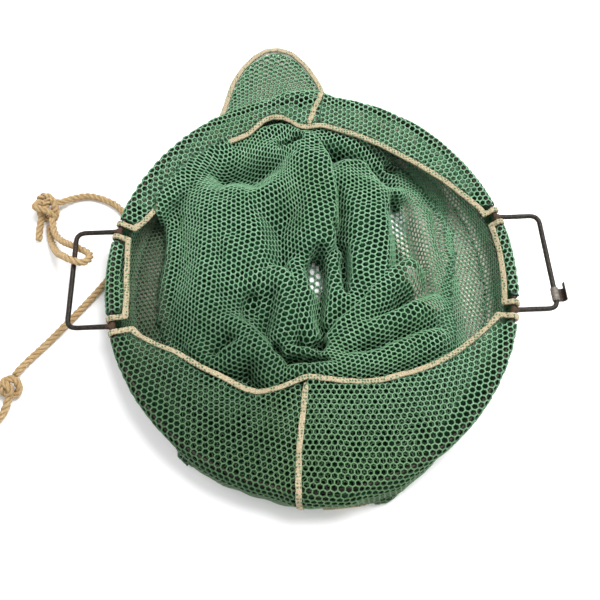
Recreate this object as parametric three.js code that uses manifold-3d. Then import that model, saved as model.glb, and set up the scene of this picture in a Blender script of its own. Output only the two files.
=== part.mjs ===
// A wire-framed catch bag of netting, lying collapsed on a floor with its mouth up.
// Millimetres, +Z up. The origin lies on the floor under the middle of the mouth hoop.
// The carrying handles lie along X and the hinges of the hoop along Y.
import * as THREE from "three";
import { mergeVertices } from "three/addons/utils/BufferGeometryUtils.js";
import Module from "manifold-3d";

const wasm = await Module();
wasm.setup();

// Driving dimensions.
const GAP = 0.3; // kept between neighbouring pieces
const WIRE_RADIUS = 2.4;
const WIRE_SIDES = 8;
const HOOP_HALF_WIDTH = 206; // centre of the wire, along X
const HOOP_HALF_LENGTH = 218; // centre of the wire, along Y
const HOOP_UP = 40;
const HANDLE_REACH = 245;
const HANDLE_HALF_SPAN = 53;
const HANDLE_CORNER = 7;
const EYE_RADIUS = 5.6;
const EYE_OFFSET = 3.05; // of each eye from the middle, so that the two linked eyes pull on each other
const CLOTH = 2; // thickness of the netting
const TAPE_THICK = 2.2;
const TAPE_WIDTH = 5;
const SEAM_TAPE_THICK = 1.4;
const ROPE_RADIUS = 4;

const rad = THREE.MathUtils.degToRad;
const point = (x, y, z) => new THREE.Vector3(x, y, z);

// A table: the names of its columns, then a row for each section, fold or point.
function table(columns, rows) {
  return rows.map((row) => Object.fromEntries(columns.map((name, i) => [name, row[i]])));
}

function finish(colour, roughness, metalness) {
  return new THREE.MeshStandardMaterial({ color: colour, roughness, metalness });
}
const steelWire = finish(0x2b211c, 0.55, 0.8);
const sheetSteel = finish(0x8d8a84, 0.5, 0.9);
const netting = finish(0x46825f, 0.75, 0);
const bindingTape = finish(0xe1cda5, 0.85, 0);
const rope = finish(0xdcb97d, 0.8, 0);

const group = new THREE.Group();
function add(name, geometry, material) {
  const mesh = new THREE.Mesh(geometry, material);
  mesh.name = name;
  group.add(mesh);
}

// Joining of closed geometries.
function solid(geometry) {
  const bare = geometry.clone();
  bare.deleteAttribute("normal");
  bare.deleteAttribute("uv");
  const merged = mergeVertices(bare, 1e-4);
  return new wasm.Manifold(
    new wasm.Mesh({
      numProp: 3,
      vertProperties: merged.attributes.position.array,
      triVerts: new Uint32Array(merged.index.array),
    }),
  );
}
function joined(geometries) {
  const mesh = geometries
    .map(solid)
    .reduce((sum, next) => sum.add(next))
    .getMesh();
  const geometry = new THREE.BufferGeometry();
  geometry.setAttribute("position", new THREE.BufferAttribute(mesh.vertProperties, 3));
  geometry.setIndex(new THREE.BufferAttribute(mesh.triVerts, 1));
  return geometry;
}

// A round bar along a curve.
function bar(curve, steps, radius, sides) {
  const section = new THREE.Shape(
    Array.from({ length: sides }, (_, i) => {
      const turn = (2 * Math.PI * (i + 0.5)) / sides;
      return new THREE.Vector2(radius * Math.cos(turn), radius * Math.sin(turn));
    }),
  );
  return new THREE.ExtrudeGeometry(section, { steps, extrudePath: curve, bevelEnabled: false });
}

// A closed strip of rectangular section through stations that each hold a middle, a side and an up vector.
function strip(stations, width, thickness) {
  const corners = stations.flatMap(({ middle, side, up }) =>
    [
      [-1, -1],
      [1, -1],
      [1, 1],
      [-1, 1],
    ].map(([across, over]) =>
      middle
        .clone()
        .addScaledVector(side, (across * width) / 2)
        .addScaledVector(up, (over * thickness) / 2),
    ),
  );
  const faces = [];
  const quad = (a, b, c, d) => faces.push(a, b, c, a, c, d);
  stations.slice(1).forEach((_, i) => {
    for (let k = 0; k < 4; k++) {
      const next = (k + 1) % 4;
      quad(4 * i + k, 4 * i + next, 4 * i + 4 + next, 4 * i + 4 + k);
    }
  });
  const last = 4 * (stations.length - 1);
  quad(3, 2, 1, 0);
  quad(last, last + 1, last + 2, last + 3);
  return facing(corners, faces);
}

// Geometry from vertices and triangles, turned so that it encloses a positive volume.
function facing(vertices, faces) {
  let volume = 0;
  const normal = new THREE.Vector3();
  for (let i = 0; i < faces.length; i += 3) {
    const [a, b, c] = [0, 1, 2].map((k) => vertices[faces[i + k]]);
    volume += normal.crossVectors(b, c).dot(a);
  }
  const geometry = new THREE.BufferGeometry().setFromPoints(vertices);
  geometry.setIndex(volume < 0 ? faces.slice().reverse() : faces);
  return geometry;
}

// ---- Wire frame: two half hoops, each with its handle and its two eyes.

function hoopRadius(turn) {
  return 1 / Math.hypot(Math.cos(turn) / HOOP_HALF_WIDTH, Math.sin(turn) / HOOP_HALF_LENGTH);
}

function hoopPoint(turn) {
  const radius = hoopRadius(turn);
  return point(radius * Math.cos(turn), radius * Math.sin(turn), HOOP_UP);
}

function frameHalf(side) {
  const reach = EYE_OFFSET + EYE_RADIUS;
  const end = Math.acos(reach / HOOP_HALF_LENGTH);
  const arc = Array.from({ length: 33 }, (_, i) => hoopPoint(-end + (2 * end * i) / 32));
  const shape = [bar(new THREE.CatmullRomCurve3(arc), 40, WIRE_RADIUS, WIRE_SIDES)];
  const handle = new THREE.CurvePath();
  const inner = hoopPoint(Math.asin(HANDLE_HALF_SPAN / HOOP_HALF_LENGTH)).x - 2;
  const corner = (x, y) => point(x, y, HOOP_UP);
  const bend = HANDLE_REACH - HANDLE_CORNER;
  const flat = HANDLE_HALF_SPAN - HANDLE_CORNER;
  const outline = [corner(inner, HANDLE_HALF_SPAN), corner(bend - 12, HANDLE_HALF_SPAN)];
  const round = (from, way) =>
    Array.from({ length: 5 }, (_, i) => {
      const turn = from + (way * Math.PI * i) / 8;
      const centre = Math.sign(from) * flat;
      return corner(
        bend + HANDLE_CORNER * Math.cos(turn),
        centre + HANDLE_CORNER * Math.sin(turn),
      );
    });
  outline.push(...round(Math.PI / 2, -1), corner(HANDLE_REACH, flat - 12));
  outline.push(corner(HANDLE_REACH, 12 - flat));
  outline.push(...round(-Math.PI / 2, 1).reverse());
  outline.push(corner(bend - 12, -HANDLE_HALF_SPAN), corner(inner, -HANDLE_HALF_SPAN));
  outline.slice(1).forEach((to, i) => handle.add(new THREE.LineCurve3(outline[i], to)));
  shape.push(bar(new THREE.CatmullRomCurve3(outline, false, "centripetal"), 44, WIRE_RADIUS, WIRE_SIDES));
  for (const way of [-1, 1]) {
    const weld = new THREE.SphereGeometry(WIRE_RADIUS * 1.45, 8, 6);
    weld.translate(inner + 3, way * HANDLE_HALF_SPAN, HOOP_UP);
    shape.push(weld);
    const eye = new THREE.TorusGeometry(EYE_RADIUS, WIRE_RADIUS, WIRE_SIDES, 18);
    if (side > 0) eye.rotateX(Math.PI / 2);
    eye.translate(EYE_OFFSET, way * HOOP_HALF_LENGTH, HOOP_UP);
    shape.push(eye);
  }
  const whole = joined(shape);
  if (side < 0) whole.rotateZ(Math.PI);
  return whole;
}

add("frame_right", frameHalf(1), steelWire);
add("frame_left", frameHalf(-1), steelWire);

// ---- Latch: a strip of sheet steel rolled round the outer wire of the right handle and turned up in a hook.

const LATCH = { from: -45, to: -31, bore: 2.8, wall: 0.9, reach: 10.5, lip: 3.2, tab: 5 };

function latchClip() {
  const outer = LATCH.bore + LATCH.wall;
  const sleeve = new THREE.Shape().absarc(0, 0, outer, 0, 2 * Math.PI);
  sleeve.holes.push(new THREE.Path().absarc(0, 0, LATCH.bore, 0, 2 * Math.PI));
  const length = LATCH.to - LATCH.from;
  const along = { depth: length, bevelEnabled: false, curveSegments: 8 };
  const hook = new THREE.Shape([
    new THREE.Vector2(0, -outer),
    new THREE.Vector2(LATCH.reach - 2, -outer),
    new THREE.Vector2(LATCH.reach, 2 - outer),
    new THREE.Vector2(LATCH.reach, LATCH.lip),
    new THREE.Vector2(LATCH.reach - LATCH.wall, LATCH.lip),
    new THREE.Vector2(LATCH.reach - LATCH.wall, 2.4 - outer),
    new THREE.Vector2(LATCH.reach - 2.4, LATCH.wall - outer),
    new THREE.Vector2(0, LATCH.wall - outer),
  ]);
  const tab = new THREE.BoxGeometry(LATCH.wall, LATCH.lip + 1.2, LATCH.tab + 1);
  tab.translate(LATCH.reach - LATCH.wall / 2, LATCH.lip / 2 - 0.6, -LATCH.tab / 2 + 0.5);
  const clip = joined([
    new THREE.ExtrudeGeometry(sleeve, along),
    new THREE.ExtrudeGeometry(hook, along),
    tab,
  ]);
  clip.rotateX(Math.PI / 2);
  clip.translate(HANDLE_REACH, LATCH.to, HOOP_UP);
  return clip;
}

add("latch_clip", latchClip(), sheetSteel);

// ---- Netting: one sheet, laid out in sections round the mouth. Each section runs from the bound edge of the
// hem over the hoop, down the wall, in along the floor, out again and up over the heap to the middle.

// Round the rim: the bound edge of the hem (distance from the middle, height), the lower wall (distance
// outside the hoop, height), the toe on the floor (outside the hoop) and the edge of the heap.
const RIM = table(
  ["at", "hem", "hemUp", "wall", "wallUp", "toe", "heap"],
  [
    [0, 197, 40, -4, 15, -12, 146],
    [10, 198, 40, -4, 15, -12, 150],
    [12, 198, 40, -4, 15, -12, 152],
    [17.8, 197, 40, -4, 15, -12, 152],
    [21, 194, 40, -4, 15, -12, 156],
    [27, 188, 38, -4, 15, -12, 160],
    [40, 179, 38, -4, 15, -12, 168],
    [52, 174, 38, -4, 15, -12, 168],
    [65, 176, 38, -4, 15, -12, 170],
    [77, 180, 38, -2, 15, -10, 172],
    [80, 182, 38, 2, 14, -6, 173],
    [83, 184, 38, 12, 11, 20, 174],
    [86, 183, 38, 16, 9, 56, 174],
    [89, 181, 38, 18, 8, 83, 174],
    [92, 184, 38, 18, 8, 103, 175],
    [94.5, 192, 38, 18, 8, 110, 177],
    [97, 197, 39, 18, 8, 111, 178],
    [100, 199, 39, 18, 8, 102, 179],
    [103, 198, 38, 18, 8, 89, 180],
    [106.5, 191, 38, 17, 9, 69, 178],
    [110, 185, 38, 15, 10, 43, 176],
    [114.5, 185, 37, 9, 12, 20, 176],
    [117, 186, 36, 0, 14, -6, 177],
    [120, 186, 35, -4, 15, -12, 177],
    [137, 185, 34, -4, 15, -12, 176],
    [153, 183, 35, -4, 15, -12, 168],
    [160, 187, 39, -4, 15, -12, 166],
    [162.2, 193, 40, -4, 15, -12, 164],
    [168, 195, 40, -4, 15, -12, 164],
    [174, 191, 39, -4, 15, -12, 165],
    [187, 189, 39, -4, 15, -12, 168],
    [192, 193, 40, -4, 15, -12, 170],
    [197.8, 190, 38, -4, 15, -12, 172],
    [211, 157, 33, -4, 15, -12, 178],
    [228, 141, 31, -2, 15, -10, 180],
    [232, 140, 31, 2, 14, -2, 180],
    [236, 139, 30, 8, 13, 6, 180],
    [243, 138, 30, 10, 12, 7, 178],
    [249, 131, 31, 9, 12, 6, 176],
    [255, 123, 34, 9, 12, 7, 174],
    [264, 111, 35, 12, 13, 11, 172],
    [273, 113, 36, 12, 13, 12, 170],
    [280, 118, 36, 13, 12, 13, 168],
    [285, 121, 35, 15, 10, 21, 166],
    [290, 126, 35, 13, 12, 10, 164],
    [297, 132, 35, 6, 14, 1, 162],
    [305, 138, 34, -2, 15, -9, 160],
    [317, 153, 33, -4, 15, -12, 156],
    [332, 174, 32, -4, 15, -12, 152],
    [338, 184, 33, -4, 15, -12, 150],
    [342.2, 193, 38, -4, 15, -12, 149],
    [348, 197, 40, -4, 15, -12, 148],
    [351, 197, 40, -4, 15, -12, 147],
    [360, 197, 40, -4, 15, -12, 146],
  ],
);

// The folds of the heap: each a ridge from one point to another with its crest heights, and how far its
// two flanks run, on the left and on the right of the way it goes.
const FOLDS = table(
  ["fromX", "fromY", "toX", "toY", "fromUp", "toUp", "left", "right"],
  [
    [-112, 120, -110, 30, 36, 44, 72, 60],
    [-110, 30, -107, -52, 44, 30, 50, 48],
    [-8, 150, 10, 85, 40, 48, 36, 62],
    [10, 85, 14, 10, 48, 40, 22, 60],
    [14, 10, -6, -62, 40, 26, 22, 40],
    [44, 122, 72, 66, 36, 46, 30, 36],
    [72, 66, 78, 18, 46, 43, 28, 40],
    [70, 8, 34, -54, 41, 36, 28, 30],
    [104, 138, 131, 50, 26, 24, 24, 24],
    [131, 50, 132, -32, 24, 18, 22, 22],
    [12, -86, 38, -64, 36, 42, 24, 24],
    [38, -64, 126, -38, 42, 32, 28, 26],
    [18, -108, 56, -96, 30, 34, 20, 20],
    [56, -96, 126, -84, 34, 28, 22, 24],
    [-100, 138, -48, 154, 34, 41, 26, 24],
    [-48, 154, -10, 162, 41, 36, 22, 22],
    [30, 156, 84, 138, 26, 28, 22, 26],
    [-76, -48, -54, -72, 32, 35, 24, 26],
    [-54, -72, -54, -92, 35, 24, 22, 22],
    [-140, -110, -20, -150, 17, 18, 34, 40],
    [-20, -150, 110, -120, 18, 16, 36, 36],
  ],
);
const SLEEVE = WIRE_RADIUS + 2.6 * GAP + CLOTH / 2; // from the wire's centre to the middle of the sheet
const HEM_SHARES = [0, 0.34, 0.67]; // places across the hem, from its edge to the wire
const WRAP = [130, 88, 46, 4]; // places round the wire, in degrees up from outwards
const WALL_TOP = 30.5;
const TOE_UP = 4.2;
const TOE_ROUND = 3.5; // how far the wall's foot rounds in before it lies on the floor
const FLOOR_UP = CLOTH / 2; // middle of the layer that lies on the floor
const RETURN_UP = 3.6; // middle of the layer that comes back out over it
const HEAP_BASE = 6.6; // lowest middle of the heap's sheet, clear of the two layers under it
const BLEND = 4; // how sharply neighbouring folds meet
// Where the heap goes down to the floor, and the share of that radius that lies flat on it.
const HOLLOW = { x: -6, y: 0, radius: 34, flat: 0.45 };
const INNER_FOLD = 54; // where the floor layer turns back, from the middle
const HEAP_RINGS = [0.93, 0.85, 0.77, 0.69, 0.6, 0.51, 0.42, 0.33, 0.24, 0.14, 0.05];
const SLOTS = [
  [12, 17.8],
  [162.2, 168],
  [192, 197.8],
  [342.2, 348],
]; // for the legs of the handles
const LOWEST_SLOT_ROW = 7; // the wall row under the handle's wire

function rim(at) {
  const i = Math.max(1, RIM.findIndex((row) => row.at >= at));
  const [low, high] = [RIM[i - 1], RIM[i]];
  const share = (at - low.at) / (high.at - low.at);
  return Object.fromEntries(
    Object.keys(low).map((name) => [name, low[name] + share * (high[name] - low[name])]),
  );
}

function foldHeight(fold, x, y) {
  const [dx, dy] = [fold.toX - fold.fromX, fold.toY - fold.fromY];
  const length = Math.hypot(dx, dy);
  const along = ((x - fold.fromX) * dx + (y - fold.fromY) * dy) / (length * length);
  const share = THREE.MathUtils.clamp(along, 0, 1);
  const [nx, ny] = [fold.fromX + share * dx, fold.fromY + share * dy];
  const onLeft = dx * (y - fold.fromY) - dy * (x - fold.fromX) > 0;
  const away = Math.hypot(x - nx, y - ny) / (onLeft ? fold.left : fold.right);
  if (away >= 1) return 0;
  return (fold.fromUp + share * (fold.toUp - fold.fromUp) - HEAP_BASE) * (1 - away * away) ** 1.4;
}

function heapHeight(x, y) {
  const sum = FOLDS.reduce((total, fold) => total + foldHeight(fold, x, y) ** BLEND, 0);
  const height = HEAP_BASE + sum ** (1 / BLEND);
  const away = Math.hypot(x - HOLLOW.x, y - HOLLOW.y) / HOLLOW.radius;
  if (away >= 1) return height;
  return FLOOR_UP + (height - FLOOR_UP) * THREE.MathUtils.smoothstep(away, HOLLOW.flat, 1);
}

// The middle of the sheet in one section, as distance from the middle and height.
function section(at) {
  const turn = rad(at);
  const here = rim(at);
  const hoop = hoopRadius(turn);
  const offHinge = Math.asin(Math.abs(Math.cos(turn))) / rad(1);
  const overEye = 1 - THREE.MathUtils.smoothstep(offHinge, 5, 10);
  const sleeve = SLEEVE + overEye * (EYE_RADIUS + 0.4);
  const edge = here.hem + TAPE_WIDTH / 2 + GAP;
  const wrap = (angle) => [
    hoop + sleeve * Math.cos(rad(angle)),
    HOOP_UP + sleeve * Math.sin(rad(angle)),
  ];
  const [topRadius, topUp] = wrap(WRAP[0]);
  const hem = (share) => [
    edge + share * (topRadius - edge),
    here.hemUp + (topUp - here.hemUp) * share ** 1.3,
  ];
  const upper = hoop + sleeve + 0.3 * here.wall;
  const foot = hoop + here.toe;
  const foldMiddle = (FLOOR_UP + RETURN_UP) / 2;
  const rows = [...HEM_SHARES.map(hem), ...WRAP.map(wrap)];
  rows.push([upper, WALL_TOP], [hoop + here.wall, here.wallUp]);
  rows.push([foot, TOE_UP], [foot - TOE_ROUND, FLOOR_UP], [(hoop + INNER_FOLD) / 2, FLOOR_UP]);
  rows.push([INNER_FOLD, FLOOR_UP], [INNER_FOLD - 2.2, foldMiddle], [INNER_FOLD, RETURN_UP]);
  rows.push([here.heap - 4, RETURN_UP], [here.heap, 5.4], [here.heap - 1.5, HEAP_BASE + 1.6]);
  for (const share of HEAP_RINGS) {
    const away = share * here.heap;
    rows.push([away, heapHeight(away * Math.cos(turn), away * Math.sin(turn))]);
  }
  return rows.map(([away, up]) => point(away * Math.cos(turn), away * Math.sin(turn), up));
}

const STATIONS = [];
for (let at = 0; at < 360; at += 5) {
  const inSlot = SLOTS.find(([from, to]) => at >= from && at <= to);
  if (inSlot) STATIONS.push(...inSlot);
  else if (at <= 80 || at >= 120) STATIONS.push(at);
  else if (at === 85) STATIONS.push(...RIM.map((row) => row.at).filter((a) => a > 80 && a < 120));
}

const sections = STATIONS.map(section);
const centre = point(0, 0, heapHeight(0, 0));
const ROWS = sections[0].length;

function inSlot(column, row) {
  return row < LOWEST_SLOT_ROW && SLOTS.some(([from]) => STATIONS[column] === from);
}

// Normals of the sheet, from the neighbours of each point along and across the section.
function sheetNormal(column, row) {
  const count = sections.length;
  const before = sections[(column + count - 1) % count];
  const after = sections[(column + 1) % count];
  const along = new THREE.Vector3().subVectors(
    sections[column][row + 1] ?? centre,
    sections[column][Math.max(0, row - 1)],
  );
  const across = new THREE.Vector3().subVectors(after[row], before[row]);
  return across.cross(along).normalize();
}

function bagNet() {
  const vertices = [];
  const faces = [];
  const count = sections.length;
  for (const way of [1, -1]) {
    sections.forEach((rows, column) =>
      rows.forEach((middle, row) =>
        vertices.push(
          middle.clone().addScaledVector(sheetNormal(column, row), (way * CLOTH) / 2),
        ),
      ),
    );
    vertices.push(centre.clone().add(point(0, 0, (way * CLOTH) / 2)));
  }
  const back = count * ROWS + 1;
  const at = (column, row) => (column % count) * ROWS + row;
  const quad = (a, b, c, d) => faces.push(a, b, c, a, c, d);
  const wall = (a, b) => quad(a, b, b + back, a + back);
  for (let column = 0; column < count; column++) {
    for (let row = 0; row < ROWS - 1; row++) {
      if (inSlot(column, row)) continue;
      const [a, b] = [at(column, row), at(column, row + 1)];
      const [c, d] = [at(column + 1, row + 1), at(column + 1, row)];
      const drop = (one, other) => Math.abs(vertices[one].z - vertices[other].z);
      if (drop(a, c) <= drop(b, d)) {
        quad(a, b, c, d);
        quad(a + back, d + back, c + back, b + back);
      } else {
        quad(b, c, d, a);
        quad(b + back, a + back, d + back, c + back);
      }
      if (row === 0 || inSlot(column, row - 1)) wall(a, d);
      if (inSlot(column + 1 === count ? 0 : column + 1, row)) wall(d, c);
      if (inSlot(column === 0 ? count - 1 : column - 1, row)) wall(b, a);
    }
    const last = ROWS - 1;
    const middle = count * ROWS;
    faces.push(at(column, last), middle, at(column + 1, last));
    faces.push(at(column + 1, last) + back, middle + back, at(column, last) + back);
  }
  return facing(vertices, faces);
}

add("bag_net", bagNet(), netting);

// ---- Binding tape on the edge of the hem: a length from slot to slot, that turns out along the slots' edges.

function inwards(column) {
  return new THREE.Vector3().subVectors(sections[column][0], sections[column][1]).normalize();
}

function onwards(column, way) {
  const turn = rad(STATIONS[column]);
  return point(-way * Math.sin(turn), way * Math.cos(turn), 0);
}

function slotEdge(column, way) {
  const side = onwards(column, way);
  const offset = GAP + TAPE_WIDTH / 2;
  const station = (middle, row) => ({
    middle: middle.clone().addScaledVector(side, offset),
    side,
    up: sheetNormal(column, row),
  });
  const rows = sections[column].slice(0, LOWEST_SLOT_ROW);
  const end = rows.at(-1).clone().lerp(sections[column][LOWEST_SLOT_ROW], 0.8);
  const corner = inwards(column).add(side);
  const start = {
    middle: rows[0].clone().addScaledVector(corner, offset),
    side: corner,
    up: sheetNormal(column, 0),
  };
  const along = rows.slice(1).map((middle, i) => station(middle, i + 1));
  return [start, ...along, station(end, LOWEST_SLOT_ROW)];
}

function hemTape(from, to) {
  const first = STATIONS.indexOf(from);
  const last = STATIONS.indexOf(to);
  const stations = slotEdge(first, -1).reverse();
  const count = sections.length;
  for (let column = (first + 1) % count; column !== last; column = (column + 1) % count) {
    const side = inwards(column);
    stations.push({
      middle: sections[column][0].clone().addScaledVector(side, GAP + TAPE_WIDTH / 2),
      side,
      up: sheetNormal(column, 0),
    });
  }
  stations.push(...slotEdge(last, 1));
  return strip(stations, TAPE_WIDTH, TAPE_THICK);
}

add("mouth_tape_right", hemTape(348, 12), bindingTape);
add("mouth_tape_far", hemTape(17.8, 162.2), bindingTape);
add("mouth_tape_left", hemTape(168, 192), bindingTape);
add("mouth_tape_near", hemTape(197.8, 342.2), bindingTape);

// ---- Tape over the two side seams, from the hem's edge over the hoop and down the wall.

const TOE_ROW = 9;

// The sheet between two sections, a row or part of a row along.
function onSheet(at, row) {
  const after = STATIONS.findIndex((station) => station >= at);
  const before = after - 1;
  const share = (at - STATIONS[before]) / (STATIONS[after] - STATIONS[before]);
  const mix = (column) => {
    const low = Math.floor(row);
    return sections[column][low].clone().lerp(sections[column][low + 1], row - low);
  };
  const up = sheetNormal(before, Math.round(row)).lerp(sheetNormal(after, Math.round(row)), share);
  return { middle: mix(before).lerp(mix(after), share), up: up.normalize() };
}

// The places where the seam crosses the sheet: the angle round the mouth and the row of the section.
const NEAR_SEAM = table(
  ["at", "row"],
  [
    [264.6, 0.08],
    [263.9, 1],
    [263.4, 2],
    [263.8, 3],
    [264, 4],
    [264, 5],
    [264, 6],
    [264.2, 7],
    [264.5, 8],
    [264.8, 8.6],
  ],
);
const FAR_SEAM = table(
  ["at", "row"],
  [
    [88, 0.1],
    [87, 1],
    [85.9, 2],
    [84.6, 3],
    [84.3, 4],
    [84, 5],
    [83.8, 6],
    [83.6, 7],
    [83.4, 7.9],
  ],
);

function seamTape(route) {
  const lift = CLOTH / 2 + 5 * GAP + SEAM_TAPE_THICK / 2;
  const places = route.map(({ at, row }) => onSheet(at, row));
  const middles = places.map(({ middle, up }) => middle.addScaledVector(up, lift));
  const stations = middles.map((middle, i) => {
    const before = middles[Math.max(0, i - 1)];
    const after = middles[Math.min(middles.length - 1, i + 1)];
    const way = new THREE.Vector3().subVectors(after, before).normalize();
    const side = new THREE.Vector3().crossVectors(places[i].up, way).normalize();
    return { middle, side, up: new THREE.Vector3().crossVectors(way, side) };
  });
  return strip(stations, TAPE_WIDTH, SEAM_TAPE_THICK);
}

add("seam_tape_near", seamTape(NEAR_SEAM), bindingTape);
add("seam_tape_far", seamTape(FAR_SEAM), bindingTape);

// ---- Tape on the outer edge that lies on the floor: round the ear, and a short length on the near flap.

const FLOOR_TAPE_UP = 3.6;

function floorTape(from, to) {
  const first = STATIONS.findIndex((station) => station >= from);
  const last = STATIONS.findLastIndex((station) => station <= to);
  const edge = sections.slice(first, last + 1).map((rows) => rows[TOE_ROW]);
  const stations = edge.map((middle, i) => {
    const before = edge[Math.max(0, i - 1)];
    const after = edge[Math.min(edge.length - 1, i + 1)];
    const side = point(after.y - before.y, before.x - after.x, 0).normalize();
    const offset = CLOTH / 2 + GAP + TAPE_WIDTH / 2;
    const lying = middle.clone().addScaledVector(side, offset).setZ(FLOOR_TAPE_UP);
    return { middle: lying, side, up: point(0, 0, 1) };
  });
  return strip(stations, TAPE_WIDTH, TAPE_THICK);
}

add("ear_tape", floorTape(83, 116), bindingTape);
add("flap_tape", floorTape(268, 281), bindingTape);

// ---- Rope: from a knot at the left handle round the foot of the bag to a knot with an end loop.

const ROPE_ROUTE = [
  [-280.2, 110, 10.5],
  [-266, 119, 4.8],
  [-252, 121.5, 4.1],
  [-237, 118, 4.1],
  [-220, 109, 4.1],
  [-207, 95, 4.1],
  [-202, 80, 4.1],
  [-204, 62, 4.1],
  [-207, 45, 4.1],
  [-211, 30, 4.1],
  [-219, 16, 4.1],
  [-231, 0, 4.1],
  [-248, -21, 4.1],
  [-264, -40, 4.1],
  [-282, -60, 4.1],
  [-297, -76, 4.6],
  [-303.5, -86, 6.6],
  [-305, -90.2, 8],
];
const HANDLE_LOOP = [
  [-285, 87.8, 14.3],
  [-280, 70, 15],
  [-270, 57, 20],
  [-258, 47.5, 28],
  [-250, 42.5, 32.4],
  [-243, 38.5, 33],
  [-235.5, 34, 34.6],
  [-230, 27.5, 38.5],
  [-230, 19.5, 43.5],
  [-234, 15.5, 46.8],
  [-241, 17, 47.4],
  [-249, 21, 46.2],
  [-258, 28, 39],
  [-269, 38, 25],
  [-280, 52, 12],
  [-287, 66, 5.6],
  [-290.6, 84, 5.4],
];
const END_LOOP = [
  [-308.2, -114.1, 8.4],
  [-313, -126, 4.6],
  [-323, -140, 4.1],
  [-338, -150, 4.1],
  [-354, -150, 4.1],
  [-364, -138, 4.1],
  [-361, -122, 4.1],
  [-347, -111, 4.1],
  [-333, -106, 4.6],
  [-319.6, -103.9, 8],
];

function ropeAlong(route, steps) {
  const curve = new THREE.CatmullRomCurve3(route.map((at) => point(...at)));
  return bar(curve, steps, ROPE_RADIUS, 10);
}

function knot(x, y, halfX, halfY, halfUp) {
  const lump = new THREE.SphereGeometry(1, 14, 10);
  lump.rotateX(Math.PI / 2);
  lump.scale(halfX, halfY, halfUp);
  lump.translate(x, y, halfUp);
  return lump;
}

const tail = [
  [-298, 94, 9],
  [-301, 80, 6],
  [-301, 66, 4.2],
];
add("rope_run", ropeAlong(ROPE_ROUTE, 30), rope);
add("rope_loop", ropeAlong(HANDLE_LOOP, 30), rope);
add("rope_knot", joined([knot(-294, 103, 14, 18, 12), ropeAlong(tail, 4)]), rope);
add("end_knot", knot(-307, -102, 12, 11.5, 10), rope);
add("end_loop", ropeAlong(END_LOOP, 22), rope);

export default group;
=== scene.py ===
import math

import bmesh
import bpy
import numpy as np
from mathutils import Matrix, Vector, noise
from mathutils.bvhtree import BVHTree
from mathutils.geometry import barycentric_transform


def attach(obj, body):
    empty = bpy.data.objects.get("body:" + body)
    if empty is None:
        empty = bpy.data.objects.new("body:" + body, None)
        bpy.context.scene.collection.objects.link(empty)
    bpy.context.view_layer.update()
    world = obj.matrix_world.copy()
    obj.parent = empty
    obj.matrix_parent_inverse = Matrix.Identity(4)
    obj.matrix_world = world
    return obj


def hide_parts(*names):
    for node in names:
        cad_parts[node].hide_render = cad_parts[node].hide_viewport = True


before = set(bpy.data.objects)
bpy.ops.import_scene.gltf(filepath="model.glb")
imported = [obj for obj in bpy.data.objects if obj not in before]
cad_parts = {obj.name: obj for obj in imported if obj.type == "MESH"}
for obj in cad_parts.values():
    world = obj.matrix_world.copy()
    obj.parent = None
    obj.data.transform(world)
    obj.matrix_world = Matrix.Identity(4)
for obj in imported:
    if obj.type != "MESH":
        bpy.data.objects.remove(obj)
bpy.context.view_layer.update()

# ---------------------------------------------------------------------------
# The view: from above and a little in front, square on to the mouth of the bag, as someone standing
# at the near hinge looks down at it.


def in_scene(name, data):
    """A new object that shows the data, put into the scene."""
    made = bpy.data.objects.new(name, data)
    bpy.context.scene.collection.objects.link(made)
    return made


view = bpy.data.cameras.new("view")
view.sensor_fit = "HORIZONTAL"
view.sensor_width = 36
view.lens = 35.88
view_point = in_scene("view", view)
view_point.location = (-0.0231, -0.2585, 0.5991)
view_point.rotation_euler = (math.radians(22), 0, math.radians(-2.5))
bpy.context.scene.camera = view_point

# ---------------------------------------------------------------------------
# Rope: straw-coloured three-strand rope, laid up right-handed. It is bent on to the left handle with a
# knotted loop, runs under the overhang of the hoop and ends in a knot with a loop.

ROPE = 0.008  # diameter
LAY = 0.020  # length in which a strand goes once round the rope
ROPE_STRAND = ROPE / 2 / (1 + 2 / math.sqrt(3))  # radius of each of the three strands


def in_metres(*points):
    """The places of a route that is written in millimetres."""
    return [tuple(round(value / 1000, 4) for value in point) for point in points]


run_route = in_metres(
    (-280.2, 110, 10.5), (-266, 119, 4.8), (-252, 121.5, 4.1), (-237, 118, 4.1), (-220, 109, 4.1),
    (-207, 95, 4.1), (-202, 80, 4.1), (-204, 62, 4.1), (-207, 45, 4.1), (-211, 30, 4.1), (-219, 16, 4.1),
    (-231, 0, 4.1), (-248, -21, 4.1), (-264, -40, 4.1), (-282, -60, 4.1), (-297, -76, 4.6),
    (-303.5, -86, 6.6), (-305, -90.2, 8),
)
handle_loop = in_metres(
    (-285, 87.8, 14.3), (-280, 70, 15), (-270, 57, 20), (-258, 47.5, 28), (-250, 42.5, 32.4),
    (-243, 38.5, 33), (-235.5, 34, 34.6), (-230, 27.5, 38.5), (-230, 19.5, 43.5), (-234, 15.5, 46.8),
    (-241, 17, 47.4), (-249, 21, 46.2), (-258, 28, 39), (-269, 38, 25), (-280, 52, 12), (-287, 66, 5.6),
    (-290.6, 84, 5.4),
)
end_loop = in_metres(
    (-307.2, -109, 10), (-308.4, -114.1, 8.4), (-313, -126, 4.6), (-323, -140, 4.1), (-338, -150, 4.1),
    (-354, -150, 4.1), (-364, -138, 4.1), (-361, -122, 4.1), (-347, -111, 4.1), (-333, -106, 4.6),
    (-319.6, -103.9, 8), (-314, -103, 10),
)
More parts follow.
